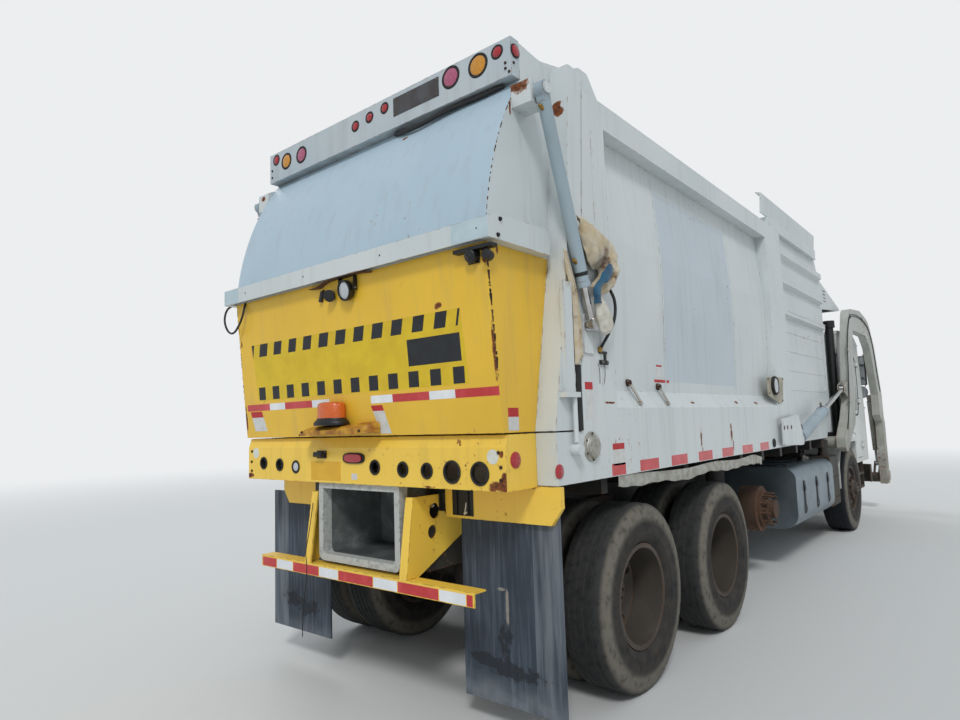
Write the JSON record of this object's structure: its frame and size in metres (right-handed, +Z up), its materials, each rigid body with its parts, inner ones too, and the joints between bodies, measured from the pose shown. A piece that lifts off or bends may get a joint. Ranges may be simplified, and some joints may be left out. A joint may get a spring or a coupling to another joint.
{
  "type": "front-loading garbage truck",
  "caption": "Cab-over refuse truck with an open-topped hopper, goosenecked front loading arms with forks, packer blade, ribbed load body and a lifting tailgate.",
  "frame": {"origin": "ground level below the middle of the truck's length, on its centre plane", "axes": "+Z up, -Y forward (the cab's end), +X to the truck's left"},
  "size_m": [2.592, 10.05, 3.8],
  "materials": {
    "white_enamel": "gloss enamel over steel, weathered",
    "yellow_enamel": "gloss enamel over steel, weathered",
    "black_enamel": "chassis enamel, dusty",
    "cab_enamel": "gloss enamel",
    "bare_steel": "worn steel",
    "chromed_rod": "hard chrome",
    "tyre_rubber": "moulded rubber",
    "flap_rubber": "sheet rubber",
    "rim_steel": "white enamel, dusty",
    "cast_steel": "as cast, oily",
    "window_glass": "clear",
    "trim_plastic": "moulded",
    "seat_vinyl": "grained",
    "tank_aluminium": "mill finish, dull",
    "cotton_cloth": "woven cotton, dirty"
  },
  "bodies": {
    "root": {"frame_rails": "black_enamel", "front_bumper": "black_enamel", "cab_shell": "cab_enamel", "cab_glass": "window_glass", "cab_interior": "seat_vinyl", "cab_grille": "trim_plastic", "cab_steps": "black_enamel", "front_fenders": "cab_enamel", "step_boxes": "black_enamel", "fuel_tank": "tank_aluminium", "hydraulic_tank": "tank_aluminium", "intake_stack": "trim_plastic", "engine_block": "cast_steel", "driveline": "cast_steel", "front_axle": "cast_steel", "rear_axles": "cast_steel", "pusher_axle": "black_enamel", "body_shell": "white_enamel", "hopper_shell": "white_enamel", "hopper_deflectors": "white_enamel", "cab_guard": "white_enamel", "mirrors": "trim_plastic", "light_panel": "yellow_enamel", "mud_flaps": "flap_rubber", "catch_bin": "bare_steel", "underride_bar": "yellow_enamel"},
    "packer": {"packer_panel": "bare_steel"},
    "tailgate": {"tailgate_shell": "yellow_enamel", "tailgate_guard": "yellow_enamel", "tailgate_light_bar": "white_enamel", "gate_cloth": "cotton_cloth"},
    "arms": {"loader_arms": "white_enamel"},
    "forks": {"fork_frame": "black_enamel"},
    "lift_barrel": {"lift_barrels": "white_enamel"},
    "lift_rod": {"lift_rods": "chromed_rod"},
    "tailgate_barrel": {"tailgate_barrels": "white_enamel", "ram_wrap": "cotton_cloth"},
    "tailgate_rod": {"tailgate_rods": "chromed_rod"},
    "fork_barrel": {"fork_barrels": "white_enamel"},
    "fork_rod": {"fork_rods": "chromed_rod"},
    "cab_door_left": {"door_left": "cab_enamel", "door_glass_left": "window_glass"},
    "steering_left": {"knuckle_left": "cast_steel"},
    "front_wheel_left": {"front_tyre_left": "tyre_rubber", "front_rim_left": "rim_steel"},
    "pusher_hub_left": {"pusher_hub_left": "rim_steel"},
    "rear_wheels_left": {"rear_tyres_left": "tyre_rubber", "rear_rims_left": "rim_steel"},
    "mid_wheels_left": {"mid_tyres_left": "tyre_rubber", "mid_rims_left": "rim_steel"},
    "cab_door_right": {"door_right": "cab_enamel", "door_glass_right": "window_glass"},
    "steering_right": {"knuckle_right": "cast_steel"},
    "front_wheel_right": {"front_tyre_right": "tyre_rubber", "front_rim_right": "rim_steel"},
    "pusher_hub_right": {"pusher_hub_right": "rim_steel"},
    "rear_wheels_right": {"rear_tyres_right": "tyre_rubber", "rear_rims_right": "rim_steel"},
    "mid_wheels_right": {"mid_tyres_right": "tyre_rubber", "mid_rims_right": "rim_steel"}
  },
  "joints": [
    {"name": "arm_lift", "type": "hinge", "parent": "root", "child": "arms", "pos_m": [0, -1.825, 1.17], "axis": [-1, 0, 0], "range_deg": [0, 95]},
    {"name": "lift_ram_swing", "type": "hinge", "parent": "root", "child": "lift_barrel", "pos_m": [0, 0.235, 1.285], "axis": [1, 0, 0], "range_deg": [0, 9.93]},
    {"name": "lift_ram_stroke", "type": "slide", "parent": "lift_barrel", "child": "lift_rod", "axis": [0, -0.9726, 0.2327], "range_m": [-1.0139, 0]},
    {"name": "fork_tilt", "type": "hinge", "parent": "arms", "child": "forks", "pos_m": [0, -4.735, 0.5], "axis": [1, 0, 0], "range_deg": [0, 100]},
    {"name": "fork_ram_swing", "type": "hinge", "parent": "arms", "child": "fork_barrel", "pos_m": [0, -4.665, 1.76], "axis": [1, 0, 0], "range_deg": [0, 3.42]},
    {"name": "fork_ram_stroke", "type": "slide", "parent": "fork_barrel", "child": "fork_rod", "axis": [0, -0.2181, -0.9759], "range_m": [0, 0.39231]},
    {"name": "tailgate_lift", "type": "hinge", "parent": "root", "child": "tailgate", "pos_m": [0, 4.055, 3.56], "axis": [1, 0, 0], "range_deg": [0, 80]},
    {"name": "tailgate_ram_swing", "type": "hinge", "parent": "tailgate", "child": "tailgate_barrel", "pos_m": [0, 4.685, 3.2], "axis": [1, 0, 0], "range_deg": [-67.5, 0]},
    {"name": "tailgate_ram_stroke", "type": "slide", "parent": "tailgate_barrel", "child": "tailgate_rod", "axis": [0, -0.3212, -0.947], "range_m": [0, 0.86667]},
    {"name": "packer_sweep", "type": "slide", "parent": "root", "child": "packer", "axis": [0, 1, 0], "range_m": [0, 4.9]},
    {"name": "door_left_swing", "type": "hinge", "parent": "root", "child": "cab_door_left", "pos_m": [1.15, -3.709, 1.2], "axis": [0, 0, -1], "range_deg": [0, 70]},
    {"name": "steer_left", "type": "hinge", "parent": "root", "child": "steering_left", "pos_m": [0.86, -2.505, 0.538], "axis": [0, 0, 1], "range_deg": [-35, 35]},
    {"name": "front_wheel_left_roll", "type": "hinge", "parent": "steering_left", "child": "front_wheel_left", "pos_m": [1.04, -2.505, 0.538], "axis": [1, 0, 0], "continuous": true},
    {"name": "pusher_hub_left_spin", "type": "hinge", "parent": "root", "child": "pusher_hub_left", "pos_m": [1, 0.785, 0.66], "axis": [1, 0, -0.0061], "continuous": true},
    {"name": "rear_wheels_left_roll", "type": "hinge", "parent": "root", "child": "rear_wheels_left", "pos_m": [0.908, 3.735, 0.527], "axis": [1, 0, 0], "continuous": true},
    {"name": "mid_wheels_left_roll", "type": "hinge", "parent": "root", "child": "mid_wheels_left", "pos_m": [0.908, 2.385, 0.527], "axis": [1, 0, 0], "continuous": true},
    {"name": "door_right_swing", "type": "hinge", "parent": "root", "child": "cab_door_right", "pos_m": [-1.15, -3.709, 1.2], "axis": [0, 0, 1], "range_deg": [0, 70]},
    {"name": "steer_right", "type": "hinge", "parent": "root", "child": "steering_right", "pos_m": [-0.86, -2.505, 0.538], "axis": [0, 0, 1], "range_deg": [-35, 35]},
    {"name": "front_wheel_right_roll", "type": "hinge", "parent": "steering_right", "child": "front_wheel_right", "pos_m": [-1.04, -2.505, 0.538], "axis": [1, 0, 0], "continuous": true},
    {"name": "pusher_hub_right_spin", "type": "hinge", "parent": "root", "child": "pusher_hub_right", "pos_m": [-1, 0.785, 0.66], "axis": [1, 0, 0.0061], "continuous": true},
    {"name": "rear_wheels_right_roll", "type": "hinge", "parent": "root", "child": "rear_wheels_right", "pos_m": [-0.908, 3.735, 0.527], "axis": [1, 0, 0], "continuous": true},
    {"name": "mid_wheels_right_roll", "type": "hinge", "parent": "root", "child": "mid_wheels_right", "pos_m": [-0.908, 2.385, 0.527], "axis": [1, 0, 0], "continuous": true}
  ],
  "couplings": [
    {"joint": "lift_ram_swing", "follows": "arm_lift", "ratio": 0.10397},
    {"joint": "lift_ram_stroke", "follows": "arm_lift", "m_per_rad": -0.61089},
    {"joint": "fork_ram_swing", "follows": "fork_tilt", "ratio": 0.033698},
    {"joint": "fork_ram_stroke", "follows": "fork_tilt", "m_per_rad": 0.2242},
    {"joint": "tailgate_ram_swing", "follows": "tailgate_lift", "ratio": -0.84309},
    {"joint": "tailgate_ram_stroke", "follows": "tailgate_lift", "m_per_rad": 0.61999},
    {"joint": "steer_right", "follows": "steer_left", "ratio": 1}
  ]
}
